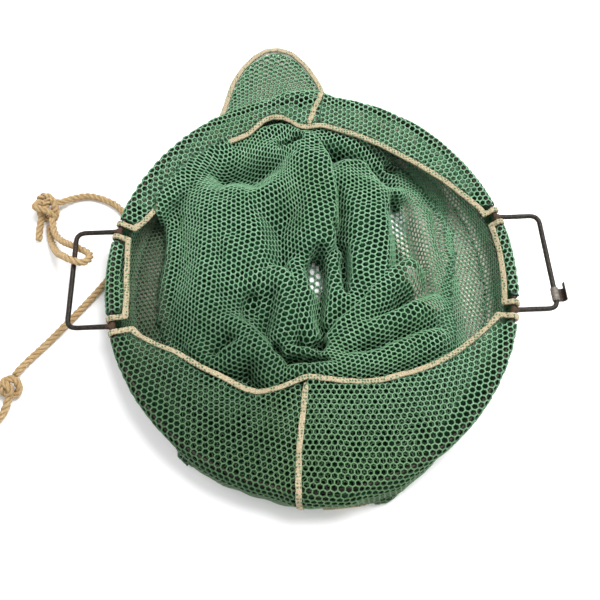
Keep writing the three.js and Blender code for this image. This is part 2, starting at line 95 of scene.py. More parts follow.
# The knot at the handle: the loop's two legs taken round in a turn and a half, drawn up over themselves,
# and the short tail that hangs beside them.
handle_knot = in_metres(
    (-301, 66, 4.5), (-301, 80, 6), (-298.5, 93, 10), (-292.5, 104, 17), (-286, 109, 19),
    (-283.5, 102, 15),
    (-289, 93, 8), (-299, 94, 5), (-304.5, 104, 6), (-304, 113, 11), (-297, 116.5, 16), (-289, 114, 15),
    (-285, 105, 9), (-284.5, 96, 5),
)
knot_over = in_metres(
    (-278.5, 111, 10), (-283.5, 109, 13), (-290, 108.5, 14.5), (-297.5, 109, 14), (-303.5, 106.5, 15.5),
    (-303.5, 100.5, 19), (-297, 97, 21), (-289, 94.5, 19), (-284.5, 91, 12), (-286, 92.5, 5.5),
)
tail_knot = in_metres(
    (-306, -92.5, 8), (-311, -96.5, 15), (-314, -103.5, 14), (-311, -109, 8), (-304, -109.5, 5),
    (-299.5, -104.5, 7), (-300, -97.5, 13), (-306, -95, 16), (-312.5, -98.5, 10), (-314, -105, 6),
    (-308.5, -110, 9), (-304, -107, 15), (-307, -102, 17.5), (-311.5, -98.5, 15), (-313, -96, 9),
)


def on_curve(before, start, end, after, t):
    """The point at t, from 0 to 1, of the way from start to end on a smooth curve through all four."""
    return 0.5 * (
        2 * start
        + (end - before) * t
        + (2 * before - 5 * start + 4 * end - after) * t**2
        + (3 * start - before - 3 * end + after) * t**3
    )


def smooth_route(points, spacing):
    """A smooth line through the points, with a point every spacing or so."""
    points = [Vector(point) for point in points]
    points = [points[0] * 2 - points[1], *points, points[-1] * 2 - points[-2]]
    line = []
    for span in zip(points, points[1:], points[2:], points[3:]):
        steps = max(2, round((span[2] - span[1]).length / spacing))
        line += [on_curve(*span, step / steps) for step in range(steps)]
    return [*line, points[-2]]


def cross_frames(line):
    """For each point of a line, its direction and a sideways direction that doesn't twist along it."""
    ways = [(b - a).normalized() for a, b in zip(line, line[1:])]
    ways.append(ways[-1])
    side = ways[0].orthogonal().normalized()
    frames = []
    for before, way in zip([ways[0], *ways], ways):
        side = before.rotation_difference(way) @ side
        frames.append((way, side))
    return frames


def tube(lines, radius, sides=8, taper=0.7):
    """Round bars along one or more lines, in one shape, their ends drawn in a little and closed."""
    bm = bmesh.new()
    length_layer = bm.loops.layers.uv.new("along")
    for line in lines:
        frames = cross_frames(line)
        travelled = 0.0
        ring_before = None
        for i, (point, (way, side)) in enumerate(zip(line, frames)):
            if i:
                travelled += (point - line[i - 1]).length
            near_end = min(i, len(line) - 1 - i)
            wide = radius * (taper if near_end == 0 else 1.0)
            basis = Matrix((side, way.cross(side), way)).transposed().to_4x4()
            ring = bmesh.ops.create_circle(
                bm, segments=sides, radius=wide, matrix=Matrix.Translation(point) @ basis
            )["verts"]
            if ring_before is None or i == len(line) - 1:
                bm.faces.new(ring if i else list(reversed(ring)))
            if ring_before is not None:
                for k in range(sides):
                    n = (k + 1) % sides
                    face = bm.faces.new((ring_before[k], ring_before[n], ring[n], ring[k]))
                    start = travelled - (point - line[i - 1]).length
                    corners = ((start, k), (start, k + 1), (travelled, k + 1), (travelled, k))
                    for loop, (along, turn) in zip(face.loops, corners):
                        loop[length_layer].uv = (along, turn / sides)
            ring_before = ring
    bmesh.ops.recalc_face_normals(bm, faces=bm.faces[:])
    return bm


def as_mesh(name, bm):
    """The shape as a mesh; the shape itself is given up."""
    mesh = bpy.data.meshes.new(name)
    bm.to_mesh(mesh)
    bm.free()
    return mesh


def finished(name, bm, finish, body="bag", smooth=True):
    """The shape as a finished piece, in place, that rides with its body."""
    mesh = as_mesh(name, bm)
    mesh.shade_smooth() if smooth else mesh.shade_flat()
    mesh.materials.append(finish.material)
    piece = in_scene(name, mesh)
    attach(piece, body)
    return piece


def laid_rope(route):
    """The three strands of a rope that follows a route."""
    line = smooth_route(route, LAY / 9)
    frames = cross_frames(line)
    strands = []
    off_middle = ROPE / 2 - ROPE_STRAND
    for strand in range(3):
        travelled = 0.0
        points = []
        for i, (point, (way, side)) in enumerate(zip(line, frames)):
            if i:
                travelled += (point - line[i - 1]).length
            turn = 2 * math.pi * (travelled / LAY + strand / 3)
            points.append(point + off_middle * (math.cos(turn) * side + math.sin(turn) * way.cross(side)))
        strands.append(points)
    return tube(strands, ROPE_STRAND), line


class Value:
    """What varies over a finish, with sums written as sums."""

    def __init__(self, finish, socket):
        self.finish = finish
        self.socket = socket

    def maths(self, operation, *others):
        return self.finish.node("ShaderNodeMath", {"operation": operation}, [self, *others])

    def __add__(self, other):
        return self.maths("ADD", other)

    __radd__ = __add__

    def __sub__(self, other):
        return self.maths("SUBTRACT", other)

    def __rsub__(self, other):
        return self.finish.node("ShaderNodeMath", {"operation": "SUBTRACT"}, [other, self])

    def __mul__(self, other):
        return self.maths("MULTIPLY", other)

    def between(self, low, high):
        """0 at low and 1 at high, with a soft start and end."""
        inputs = {"Value": self, "From Min": low, "From Max": high}
        return self.finish.node("ShaderNodeMapRange", {"interpolation_type": "SMOOTHSTEP"}, inputs)


class Finish:
    """The finish of one kind of surface, built up on one Principled shader."""

    def __init__(self, name, roughness, metallic=0.0, shine=0.5):
        self.material = bpy.data.materials.new(name)
        self.material.use_nodes = True
        self.nodes = self.material.node_tree.nodes
        self.links = self.material.node_tree.links
        self.shader = self.nodes["Principled BSDF"]
        self.set("Roughness", roughness)
        self.set("Metallic", metallic)
        self.set("Specular IOR Level", shine)

    def node(self, kind, settings, inputs, output=0):
        """A new node with these settings, and with numbers or other values in its inputs."""
        made = self.nodes.new(kind)
        for name, value in settings.items():
            setattr(made, name, value)
        pairs = inputs.items() if isinstance(inputs, dict) else enumerate(inputs)
        for key, value in pairs:
            if isinstance(value, Value):
                self.links.new(value.socket, made.inputs[key])
            else:
                made.inputs[key].default_value = value
        return Value(self, made.outputs[output])

    def set(self, socket, value):
        """Gives the finish this value, or a number or colour that is the same all over."""
        if isinstance(value, Value):
            self.links.new(value.socket, self.shader.inputs[socket])
        else:
            self.shader.inputs[socket].default_value = value

    def place(self):
        """Where on the object a point is, in metres."""
        return self.node("ShaderNodeTexCoord", {}, {}, output="Object")

    def map(self, name):
        """What the piece's map of this name says."""
        return self.node("ShaderNodeUVMap", {"uv_map": name}, {})

    def stretched(self, place, scale, turn=(0, 0, 0)):
        """The place, scaled by its three directions and turned."""
        return self.node("ShaderNodeMapping", {}, {"Vector": place, "Rotation": turn, "Scale": scale})

    def mottle(self, place, scale, detail=2.0, roughness=0.5):
        """Soft uneven patches, from 0 to 1; a larger scale makes them smaller."""
        inputs = {"Vector": place, "Scale": scale, "Detail": detail, "Roughness": roughness}
        return self.node("ShaderNodeTexNoise", {}, inputs)

    def cells(self, place, scale, randomness, feature="F1"):
        """How far a point is from the middle, or from the edge, of its cell in a pattern of cells."""
        inputs = {"Vector": place, "Scale": scale, "Randomness": randomness}
        return self.node("ShaderNodeTexVoronoi", {"feature": feature}, inputs, output="Distance")

    def part(self, place, axis):
        """The place along one axis."""
        return self.node("ShaderNodeSeparateXYZ", {}, [place], output=axis)

    def colours(self, share, first, second):
        """The first colour where share is 0 and the second where it is 1."""
        first, second = (shade if isinstance(shade, Value) else (*shade, 1) for shade in (first, second))
        mix = {0: share, 6: first, 7: second}
        return self.node("ShaderNodeMix", {"data_type": "RGBA", "clamp_factor": True}, mix, output=2)

    def relief(self, height, depth, strength):
        """Raises the surface where the height is 1, by the depth in metres."""
        bump = {"Height": height, "Distance": depth, "Strength": strength}
        self.set("Normal", self.node("ShaderNodeBump", {}, bump))


rope_finish = Finish("laid rope", 0.72)
along = rope_finish.map("along")
fibres = rope_finish.mottle(rope_finish.stretched(along, (260, 22, 1), (0, 0, 0.5)), 1.0, 3.0, 0.6)
soiling = rope_finish.mottle(rope_finish.place(), 55.0, 3.0)
straw = rope_finish.colours(fibres.between(0.3, 0.72), (0.235, 0.132, 0.042), (0.58, 0.435, 0.235))
straw = rope_finish.colours(soiling.between(0.45, 0.7) * 0.45, straw, (0.34, 0.205, 0.08))
rope_finish.set("Base Color", straw)
rope_finish.relief(fibres, 0.0005, 0.8)

# The turn drawn over the knot has no solid of its own.
for name, route, node in (
    ("rope_loop_strands", handle_loop, "rope_loop"),
    ("end_loop_strands", end_loop, "end_loop"),
    ("rope_knot_strands", handle_knot, "rope_knot"),
    ("rope_knot_turn", knot_over, None),
    ("end_knot_strands", tail_knot, "end_knot"),
):
    strands, _ = laid_rope(route)
    part = finished(name, strands, rope_finish)
    if node:
        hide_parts(node)

strands, run_line = laid_rope(run_route)
run_length = sum((b - a).length for a, b in zip(run_line, run_line[1:]))
rope_run = finished("rope_run_strands", strands, rope_finish)
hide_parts("rope_run")

# ---------------------------------------------------------------------------
# Frame: two half hoops of steel wire with an eye at each end, and a square handle welded on to each.
# The wire has gone dark, and rust has come up round the welds and in the hollows.


def cad_copy(node):
    """A copy of a node's solid to work on, with its points joined."""
    bm = bmesh.new()
    bm.from_mesh(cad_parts[node].data)
    bmesh.ops.remove_doubles(bm, verts=bm.verts[:], dist=1e-6)
    return bm


def rounded_off(piece):
    """Rounds off the flat sides that the solid has."""
    rounding = piece.modifiers.new("rounding", "SUBSURF")
    rounding.levels = rounding.render_levels = 1


THICKER = 0.00042  # what rounding the wire off takes from its radius, and a little crust of rust

wire_finish = Finish("dark wire", 0.5, shine=0.3)
here = wire_finish.place()
pits = wire_finish.mottle(here, 420.0, 4.0, 0.65)
patches = wire_finish.mottle(here, 38.0, 3.0, 0.6)
scale_layer = wire_finish.colours(pits.between(0.4, 0.75), (0.01, 0.008, 0.006), (0.046, 0.036, 0.027))
weld_rust = 0.0
for side in (-1, 1):
    for way in (-1, 1):
        weld = (side * 0.2005, way * 0.053, 0.040)
        distance = {"operation": "DISTANCE"}
        away = wire_finish.node("ShaderNodeVectorMath", distance, [here, weld], output="Value")
        weld_rust = weld_rust + (1 - away.between(0.003, 0.008))
rusting = (patches.between(0.50, 0.72) * 0.5 + weld_rust) * pits.between(0.25, 0.6)
wire_finish.set("Base Color", wire_finish.colours(rusting * 0.65, scale_layer, (0.085, 0.042, 0.022)))
wire_finish.set("Metallic", 0.4 - rusting * 0.35)
wire_finish.set("Roughness", 0.36 + pits * 0.3 + rusting * 0.25)
wire_finish.relief(pits, 0.0004, 0.7)

for side in ("left", "right"):
    bm = cad_copy("frame_" + side)
    bmesh.ops.smooth_vert(
        bm, verts=bm.verts[:], factor=0.12, use_axis_x=True, use_axis_y=True, use_axis_z=True
    )
    bm.normal_update()
    for vert, way in [(vert, vert.normal.copy()) for vert in bm.verts]:
        vert.co += way * THICKER
    wire = finished("wire_" + side, bm, wire_finish)
    rounded_off(wire)
    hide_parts("frame_" + side)

# ---------------------------------------------------------------------------
# Latch: a strip of thin sheet steel rolled round the outer wire of the right handle, with its free end
# turned up in a hook. It is rubbed grey where it is rolled, and has gone brown and black beyond the wire.

HANDLE_WIRE = 0.245  # how far out the outer wire of the handle lies

latch_finish = Finish("worn plate", 0.5, 0.35, shine=0.3)
here = latch_finish.place()
scuffs = latch_finish.mottle(latch_finish.stretched(here, (1, 5, 1)), 260.0, 4.0, 0.6)
spots = latch_finish.mottle(here, 120.0, 3.0)
rubbed = latch_finish.colours(scuffs.between(0.35, 0.7), (0.085, 0.075, 0.064), (0.27, 0.24, 0.205))
plate = latch_finish.colours(scuffs.between(0.35, 0.7), (0.012, 0.008, 0.006), (0.06, 0.04, 0.028))
plate = latch_finish.colours(spots.between(0.56, 0.66) * 0.7, plate, (0.2, 0.12, 0.06))
beyond_wire = latch_finish.part(here, "X").between(HANDLE_WIRE + 0.0030, HANDLE_WIRE + 0.0040)
latch_finish.set("Base Color", latch_finish.colours(beyond_wire, rubbed, plate))
latch_finish.set("Roughness", 0.45 + scuffs * 0.3)
latch_finish.relief(scuffs, 0.0002, 0.6)

bm = cad_copy("latch_clip")
bmesh.ops.dissolve_limit(bm, angle_limit=math.radians(1), verts=bm.verts[:], edges=bm.edges[:])
bmesh.ops.bevel(
    bm,
    geom=[e for e in bm.edges if len(e.link_faces) == 2 and e.calc_face_angle(0) > math.radians(50)],
    offset=0.00018,
    offset_type="OFFSET",
    affect="EDGES",
    segments=2,
    profile=0.5,
    material=-1,
)
latch = finished("latch_plate", bm, latch_finish, body="latch", smooth=False)
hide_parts("latch_clip")

# ---------------------------------------------------------------------------
# Netting: a knitted net of six-sided cells in green twine. One panel goes on each side of the mouth, from
# the bound edge of the hem over the hoop, down outside it and in under the heap along the floor.

CELL = 0.0059  # from one cell to the next
TWINE = 0.0021

# All small unevenness of the netting is drawn from this seed, so it lies the same each time.
noise.seed_set(1795353022)

net_finish = Finish("green netting", 0.42, shine=0.32)
here = net_finish.place()
twist = net_finish.mottle(here, 1000.0, 2.0, 0.6)
handling = net_finish.mottle(here, 14.0, 3.0, 0.55)
bleaching = net_finish.mottle(here, 190.0, 2.0, 0.5)
green = net_finish.colours(twist.between(0.3, 0.70), (0.044, 0.16, 0.072), (0.255, 0.45, 0.275))
green = net_finish.colours(bleaching.between(0.5, 0.75) * 0.5, green, (0.33, 0.53, 0.35))
side_to_side = net_finish.part(here, "X")
front_to_back = net_finish.part(here, "Y")
# Olive weed stain and painted shade together: the netting turns darker and more olive towards the near
# left.
weed_and_shade = (1 - (front_to_back + side_to_side * 0.35 + handling * 0.16).between(-0.17, 0.09)) * 0.84
green = net_finish.colours(weed_and_shade, green, (0.056, 0.106, 0.031))
green = net_finish.colours(handling.between(0.5, 0.72) * 0.35, green, (0.085, 0.19, 0.065))
shaded = (1 - front_to_back.between(-0.070, 0.005)) * (1 - side_to_side.between(-0.075, 0.0))
green = net_finish.colours(shaded * 0.38, green, (0.02, 0.06, 0.028))
low_down = 1 - net_finish.part(here, "Z").between(0.010, 0.024)
# Painted shade: the netting low down at the far left is painted darker and duller.
shade_low_left = low_down * (1 - side_to_side.between(-0.17, -0.135))
green = net_finish.colours(shade_low_left * 0.78, green, (0.055, 0.078, 0.04))
clean_right = low_down * side_to_side.between(0.085, 0.13)
green = net_finish.colours(clean_right * 0.3, green, (0.08, 0.23, 0.11))
# Painted shade: the sides of each twine are painted dark and its crest left light, as light falling on
# its top would leave them.
crest = net_finish.part(net_finish.map("crest"), "X")
green = net_finish.colours((1 - crest.between(0.1, 0.75)) * 0.85, green, (0.01, 0.052, 0.024))
net_finish.set("Base Color", green)
net_finish.set("Roughness", 0.34 + twist * 0.25)
net_finish.relief(twist, 0.0004, 0.7)


def as_shape(mesh):
    """The mesh as a shape to work on; the mesh itself is given up."""
    bm = bmesh.new()
    bm.from_mesh(mesh)
    bpy.data.meshes.remove(mesh)
    return bm


def join(whole, part):
    """Adds one shape to another; the part is given up."""
    mesh = as_mesh("part", part)
    whole.from_mesh(mesh)
    bpy.data.meshes.remove(mesh)


def face_corners(bm):
    """Every corner of every face."""
    return [loop for face in bm.faces for loop in face.loops]


def cell_sheet(wide, long):
    """A flat sheet of six-sided cells that covers wide by long, round the origin."""
    across, down = CELL, CELL * math.sqrt(3) / 2
    rows = math.ceil(long / down) + 2
    columns = math.ceil(wide / across + rows / 2) + 2
    bm = bmesh.new()
    bmesh.ops.create_circle(bm, cap_ends=True, segments=6, radius=CELL / math.sqrt(3))
    mesh = as_mesh("cell", bm)
    cell = in_scene("cell", mesh)
    for count, step in ((columns, (across, 0, 0)), (rows, (across / 2, down, 0))):
        again = cell.modifiers.new("again", "ARRAY")
        again.count = count
        again.use_relative_offset = False
        again.use_constant_offset = True
        again.constant_offset_displace = step
        again.use_merge_vertices = True
        again.merge_threshold = CELL * 0.05
    depsgraph = bpy.context.evaluated_depsgraph_get()
    net = as_shape(bpy.data.meshes.new_from_object(cell.evaluated_get(depsgraph)))
    bpy.data.objects.remove(cell)
    bpy.data.meshes.remove(mesh)
    slant = Vector((-(columns * across + rows * across / 2) / 2, -rows * down / 2, 0))
    bmesh.ops.translate(net, verts=net.verts[:], vec=slant)
    return net


def spread_flat(bm, row_from, row_to, method="ANGLE_BASED"):
    """Lays the cloth of a shaped surface out flat at its real size, its rows along row_from to row_to."""
    bm.loops.layers.uv.new("flat")
    mesh = as_mesh("cloth", bm)
    cloth = in_scene("cloth", mesh)
    bpy.context.view_layer.objects.active = cloth
    cloth.select_set(True)
    bpy.ops.object.mode_set(mode="EDIT")
    bpy.ops.mesh.select_all(action="SELECT")
    bpy.ops.uv.unwrap(method=method, margin=0.0)
    bpy.ops.object.mode_set(mode="OBJECT")
    bpy.data.objects.remove(cloth)
    bm = as_shape(mesh)
    flat = bm.loops.layers.uv["flat"]
    ends = {}
    for place in (row_from, row_to):
        nearest = min(bm.verts, key=lambda v: (v.co.xy - Vector(place)).length)
        ends[place] = nearest.link_loops[0][flat].uv.copy()
    whole = shown = 0.0
    for face in bm.faces:
        outline = [loop[flat].uv for loop in face.loops]
        shown += abs(sum(a.cross(b) for a, b in zip(outline, outline[1:] + outline[:1]))) / 2
        whole += face.calc_area()
    along_row = ends[row_to] - ends[row_from]
    turn = Matrix.Rotation(-math.atan2(along_row.y, along_row.x), 2) * math.sqrt(whole / shown)
    for loop in face_corners(bm):
        loop[flat].uv = turn @ loop[flat].uv
    return bm, whole


def knit(bm, turn=0.0, looseness=0.00035, seed=0.0, twine=TWINE):
    """The twine of the netting that lies in a surface whose flat shape is in its map."""
    bmesh.ops.triangulate(bm, faces=bm.faces[:])
    bm.normal_update()
    flat = bm.loops.layers.uv["flat"]
    corners = face_corners(bm)
    spread = np.array([loop[flat].uv for loop in corners]) @ np.array(Matrix.Rotation(-turn, 2)).T
    low, high = spread.min(0), spread.max(0)
    places = [loop.vert.co.copy() for loop in corners]
    ups = [loop.vert.normal.copy() for loop in corners]
    flat_places = [Vector((u, v, 0)) for u, v in spread]
    tree = BVHTree.FromPolygons(flat_places, [(i, i + 1, i + 2) for i in range(0, len(corners), 3)])
    net = cell_sheet(*(high - low + 2 * CELL))
    middle = Vector((*((low + high) / 2), 0))
    off_cloth = []
    (left, bottom), (right, top) = low - 1e-3, high + 1e-3
    for vert in net.verts:
        spot = vert.co + middle
        if not (left < spot.x < right and bottom < spot.y < top):
            off_cloth.append(vert)
            continue
        loose = noise.noise_vector(Vector((spot.x * 70 + seed, spot.y * 70, seed)))
        spot = spot + Vector((loose.x, loose.y, 0)) * looseness
        found, _, index, away = tree.find_nearest(spot)
        if found is None or away > 2e-4:
            off_cloth.append(vert)
            continue
        here = slice(3 * index, 3 * index + 3)
        up = barycentric_transform(found, *flat_places[here], *ups[here])
        place = barycentric_transform(found, *flat_places[here], *places[here])
        vert.co = place + up * loose.z * looseness
    bm.free()
    bmesh.ops.delete(net, geom=off_cloth, context="VERTS")
    bmesh.ops.delete(net, geom=[v for v in net.verts if not v.link_faces], context="VERTS")
    bmesh.ops.wireframe(
        net,
        faces=net.faces[:],
        thickness=twine,
        offset=0.0,
        use_replace=True,
        use_boundary=True,
        use_even_offset=True,
        use_relative_offset=False,
        use_crease=False,
        material_offset=0,
    )
    # The crest map is 1 on the top and bottom edges of each twine and 0 on its sides; the finish paints
    # the sides dark as painted shade.
    crest = net.loops.layers.uv.new("crest")
    for loop in face_corners(net):
        loop[crest].uv = (0 if len(loop.vert.link_edges) == 4 else 1, 0)
    return net


HOOP_HALF_WIDTH = 0.206
HOOP_HALF_LENGTH = 0.218
HOOP_UP = 0.040
SLEEVE = 0.0042  # from the middle of the wire to the middle of the netting round it
WALL_TOP = 0.0305
TOE_UP = 0.0042
FLOOR_UP = 0.001

# Round the mouth, by degrees from the right handle: distance of the hem's edge from the middle and its
# height; then, where the wall doesn't hang plain, how far it stands outside the hoop at its waist, that
# height, and how far the toe stands out. In millimetres.
rim_rows = [
    (0, 197, 40), (10, 198, 40), (17.8, 197, 40), (21, 194, 40), (27, 188, 38), (40, 179, 38),
    (52, 174, 38), (65, 176, 38), (77, 180, 38, -2, 15, -10), (80, 182, 38, 2, 14, -6),
    (83, 184, 38, 12, 11, 20), (86, 183, 38, 16, 9, 56), (89, 181, 38, 18, 8, 83),
    (92, 184, 38, 18, 8, 103), (94.5, 192, 38, 18, 8, 110), (97, 197, 39, 18, 8, 111),
    (100, 199, 39, 18, 8, 102), (103, 198, 38, 18, 8, 89), (106.5, 191, 38, 17, 9, 69),
    (110, 185, 38, 15, 10, 43), (114.5, 185, 37, 9, 12, 20), (117, 186, 36, 0, 14, -6), (120, 186, 35),
    (137, 185, 34), (153, 183, 35), (160, 187, 39), (168, 195, 40), (174, 191, 39), (187, 189, 39),
    (192, 193, 40), (197.8, 190, 38), (211, 157, 33), (228, 141, 31, -3, 15, -11),
    (230.6, 140, 31, 1, 14, 3), (232.6, 140, 31, 6, 11, 15), (236, 139, 30, 8, 12, 10.5),
    (243, 138, 30, 10, 12, 7.5), (249, 131, 31, 9, 12, 6), (255, 123, 34, 9, 12, 7),
    (264, 111, 35, 12, 13, 11), (273, 113, 36, 12, 13, 12), (280, 118, 36, 13, 12, 13),
    (285, 121, 35, 15, 10, 21), (290, 126, 35, 13, 12, 10), (297, 132, 35, 6, 14, 1),
    (305, 138, 34, -2, 15, -9), (317, 153, 33), (332, 174, 32), (338, 184, 33), (342.2, 193, 38),
    (348, 197, 40), (360, 197, 40),
]
plain_wall = (-4, 15, -12)
rim_table = np.array([(*row, *plain_wall)[:6] for row in rim_rows]) / np.array([1] + [1000] * 5)


def held(value):
    """The value, kept from 0 to 1."""
    return min(1, max(0, value))


def way_round(x, y):
    """Degrees from the right handle round to this place."""
    return math.degrees(math.atan2(y, x)) % 360


def off_handle(degrees):
    """Degrees from here to the middle of the nearer handle."""
    return min(degrees % 360, -degrees % 360, abs(degrees % 360 - 180))


def at_way(degrees, away, up):
    """The place that far from the middle of the mouth and that far up."""
    turn = math.radians(degrees)
    return (away * math.cos(turn), away * math.sin(turn), up)


def hoop_radius(degrees):
    """How far from the middle of the mouth the middle of the hoop's wire lies."""
    turn = math.radians(degrees)
    return 1 / math.hypot(math.cos(turn) / HOOP_HALF_WIDTH, math.sin(turn) / HOOP_HALF_LENGTH)


def rim(degrees):
    """The row of the table at this place round the mouth, without its corners."""
    places = (degrees + np.linspace(-1.2, 1.2, 5)) % 360
    return [float(np.mean(np.interp(places, rim_table[:, 0], rim_table[:, k]))) for k in range(1, 6)]


def between_points(points, shares):
    """Points at these shares of the way along a smooth line in a plane."""
    points = [np.array(p, float) for p in points]
    points = [2 * points[0] - points[1], *points, 2 * points[-1] - points[-2]]
    fine = []
    for span in zip(points, points[1:], points[2:], points[3:]):
        fine.append(on_curve(*span, np.linspace(0, 1, 12, endpoint=False)[:, None]))
    fine = np.vstack([*fine, points[-2][None]])
    travelled = np.concatenate([[0], np.cumsum(np.linalg.norm(np.diff(fine, axis=0), axis=1))])
    wanted = np.array(shares) * travelled[-1]
    return np.stack([np.interp(wanted, travelled, fine[:, k]) for k in range(2)], 1)


def shell_profile(degrees, count):
    """The netting from the hem's edge to the floor, as distances from the middle and heights."""
    hem, hem_up, wall, wall_up, toe = rim(degrees)
    hoop = hoop_radius(degrees)
    off_hinge = math.degrees(math.asin(min(1, abs(math.cos(math.radians(degrees))))))
    over_eye = 1 - held((off_hinge - 5) / 5)
    sleeve = SLEEVE + over_eye * 0.006
    edge = hem + 0.0012
    sag = 0.0012 + 0.0008 * math.sin(degrees * 0.41) + 0.0004 * math.sin(degrees * 1.13 + 2)
    wrap = [
        (hoop + sleeve * math.cos(math.radians(a)), HOOP_UP + sleeve * math.sin(math.radians(a)))
        for a in (128, 88, 46, 4)
    ]
    top, top_up = wrap[0]
    width = top - edge
    sag *= min(1, width / 0.04)
    hem_line = [
        (edge + share * width, hem_up + (top_up - hem_up) * share**1.3 - sag * math.sin(math.pi * share))
        for share in (0, 0.2, 0.4, 0.6, 0.8)
    ]
    foot = hoop + toe
    pleat = 0.0006 * math.sin(degrees * 0.9) * min(1, width / 0.02)
    line = [*hem_line, *wrap]
    near = math.exp(-(((degrees - 262) / 26) ** 4))
    shoulder = min(hoop + sleeve + 0.4 * wall, hoop + max(wall, sleeve) + 0.0006)
    line += [(shoulder + 0.4 * pleat, WALL_TOP + 0.004 * near), (hoop + wall + pleat, wall_up)]
    if toe > 0.012:
        for share in (0.3, 0.6):
            line.append((hoop + wall + share * (toe - wall), wall_up * (1 - share) ** 2 + 0.005))
    line += [(foot, TOE_UP), (foot - 0.0035, FLOOR_UP + 0.0010), (foot - 0.008, FLOOR_UP + 0.0012)]
    return between_points(line, np.linspace(0, 1, count))


def side_panel(start, end, widest):
    """The netting of one side of the mouth, from one place round it to the other, as a surface."""
    stations = max(4, round((end - start) * 1.15))
    rows = round((0.050 + widest) / 0.0032)
    bm = bmesh.new()
    bmesh.ops.create_grid(bm, x_segments=stations, y_segments=rows, size=1)
    profiles = {}
    for vert in bm.verts:
        column = round((vert.co.x + 1) / 2 * stations)
        row = round((vert.co.y + 1) / 2 * rows)
        degrees = start + (end - start) * column / stations
        if column not in profiles:
            profiles[column] = shell_profile(degrees, rows + 1)
        vert.co = at_way(degrees, *profiles[column][row])
    return bm


# From where to where round the mouth each slot for a leg of a handle goes, and how far down.
leg_slots = ((11.6, 18.2), (161.8, 168.4), (191.6, 198.2), (341.8, 348.4))
SLOT_FOOT = 0.0245


def clear_of_legs(bm):
    """Opens the slots for the legs of the handles, down to below the wire."""
    cut = []
    for face in bm.faces:
        middle = face.calc_center_median()
        degrees = way_round(middle.x, middle.y)
        if middle.z > SLOT_FOOT and any(low < degrees < high for low, high in leg_slots):
            cut.append(face)
    bmesh.ops.delete(bm, geom=cut, context="FACES")
    return bm


# Each panel: where it starts and ends round the mouth, its widest hem, and the two places that a row of
# its cells runs between. Each laps a little over the next.
panels = [
    (194.9, 264.2, 0.105, (-0.160, -0.100), (-0.080, -0.150)),
    (263.8, 345.1, 0.110, (0.060, -0.165), (0.160, -0.128)),
    (345.0, 375.0, 0.020, (0.205, -0.020), (0.206, 0.020)),
    (14.9, 84.2, 0.045, (0.180, 0.090), (0.120, 0.165)),
    (83.8, 165.1, 0.035, (-0.060, 0.200), (-0.150, 0.140)),
    (165.0, 195.0, 0.025, (-0.202, 0.020), (-0.202, -0.020)),
]
gathered = bmesh.new()
for number, (start, end, widest, row_from, row_to) in enumerate(panels):
    surface, area = spread_flat(clear_of_legs(side_panel(start, end, widest)), row_from, row_to)
    join(gathered, knit(surface, seed=number * 3.7))
net_shell = finished("net_shell", gathered, net_finish)
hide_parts("bag_net")

# ---------------------------------------------------------------------------
# The floor of the bag: under the heap the same netting lies on the ground in one layer, out to the toe of
# the wall, and climbs up inside the wall beside the handles. It is parted where the ground shows.

# How far out the heap reaches, by degrees from the right handle, in millimetres.
heap_edge = [
    (0, 158), (12, 170), (22, 178), (34, 180), (46, 182), (60, 190), (92, 196), (106, 198), (116, 198),
    (122, 198), (150, 196), (156, 182), (162, 168), (168, 164), (187, 168), (198, 172), (228, 180),
    (249, 176), (273, 170), (297, 166), (317, 168), (330, 168), (338, 162), (346, 156), (360, 154),
]


def beside_handle(degrees):
    """1 where the netting climbs the wall, beside the handles and on past the right one; 0 elsewhere."""
    end = 48 if 0 < degrees % 360 < 90 else 26
    return 1 - held((off_handle(degrees) - end) / 8)


# How high the netting has climbed at each place from 18 mm inside the hoop's wire outwards.
climbing = ((-18, -14, -10, -7, -4, -1.5), (0, 0.9, 5.4, 12.8, 21, 28.5))


def floor_surface():
    """The netting on the floor, from under the heap to the toe, and up the wall beside the handles."""
    bm = bmesh.new()
    bmesh.ops.create_grid(bm, x_segments=150, y_segments=190, size=0.5)
    flat = bm.loops.layers.uv.new("flat")
    outside = []
    for vert in bm.verts:
        x, y = vert.co.x * 0.47, vert.co.y * 0.60 + 0.045
        vert.co = (x, y, FLOOR_UP)
        away, degrees = math.hypot(x, y), way_round(x, y)
        in_gap = math.hypot((x * 1000 - 102) / 11, (y * 1000 - 60) / 38) < 1
        reach = float(np.interp(degrees, *zip(*heap_edge))) / 1000
        in_gap = in_gap or (x > 0.094 and -0.035 < y < 0.145 and away < reach - 0.014)
        beside = beside_handle(degrees)
        hoop = hoop_radius(degrees)
        outer = hoop + (rim(degrees)[4] + 0.0015) * (1 - beside) - 0.0018 * beside
        if away < 0.050 or in_gap or away > outer:
            outside.append(vert)
            continue
        ripple = noise.noise(Vector((x * 22, y * 22, 3.0)))
        below_leg = math.exp(-(((off_handle(degrees) - 15) / 4.5) ** 4))
        climb = np.interp(1000 * (away - hoop), *climbing) / 1000
        climb = min(climb, 0.0285 - 0.0080 * below_leg) * beside
        vert.co.z = 0.0026 + 0.0024 * abs(ripple) + climb
    bmesh.ops.delete(bm, geom=outside, context="VERTS")
    for loop in face_corners(bm):
        x, y = loop.vert.co.xy
        slack = 1 + 0.32 * held((abs(x) - 0.12) / 0.04)
        climbed = 1 + max(0, loop.vert.co.z - 0.005) / math.hypot(x, y)
        loop[flat].uv = (x * slack * climbed, y * (1 + 0.12 * (slack - 1) / 0.32) * climbed)
    return bm


surface = floor_surface()
area = sum(face.calc_area() for face in surface.faces)
netting = knit(surface, turn=math.radians(8), seed=31.0, twine=0.00172)
net_floor = finished("net_floor", netting, net_finish)

# ---------------------------------------------------------------------------
# The heap: the lower part of the bag, which has dropped inside the hoop. The netting lies there in soft
# folds that lean over one another, with the floor just showing where they part.

